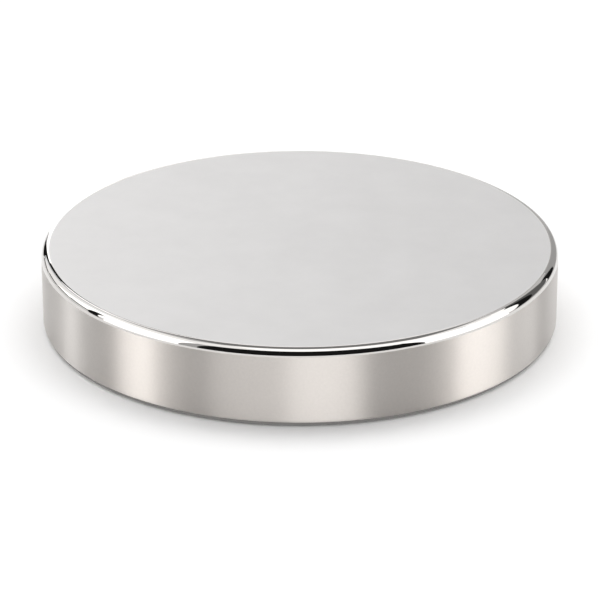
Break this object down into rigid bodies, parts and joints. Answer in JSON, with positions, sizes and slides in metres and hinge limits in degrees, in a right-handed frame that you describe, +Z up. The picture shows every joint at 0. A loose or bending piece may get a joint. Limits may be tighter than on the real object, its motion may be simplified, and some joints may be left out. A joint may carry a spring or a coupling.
{
  "type": "disc magnet",
  "caption": "Flat round permanent magnet with nickel plating and rounded rims. It holds to steel by either face, or sits glued in a round pocket.",
  "frame": {"origin": "centre of the lower face, on the surface that the magnet lies on", "axes": "+Z up the disc's axis, from the lower face to the upper face; X and Y lie in the lower face"},
  "size_m": [0.032, 0.032, 0.005],
  "materials": {
    "nickel_plating": "satin"
  },
  "bodies": {
    "root": {"magnet": "nickel_plating"}
  },
  "joints": []
}
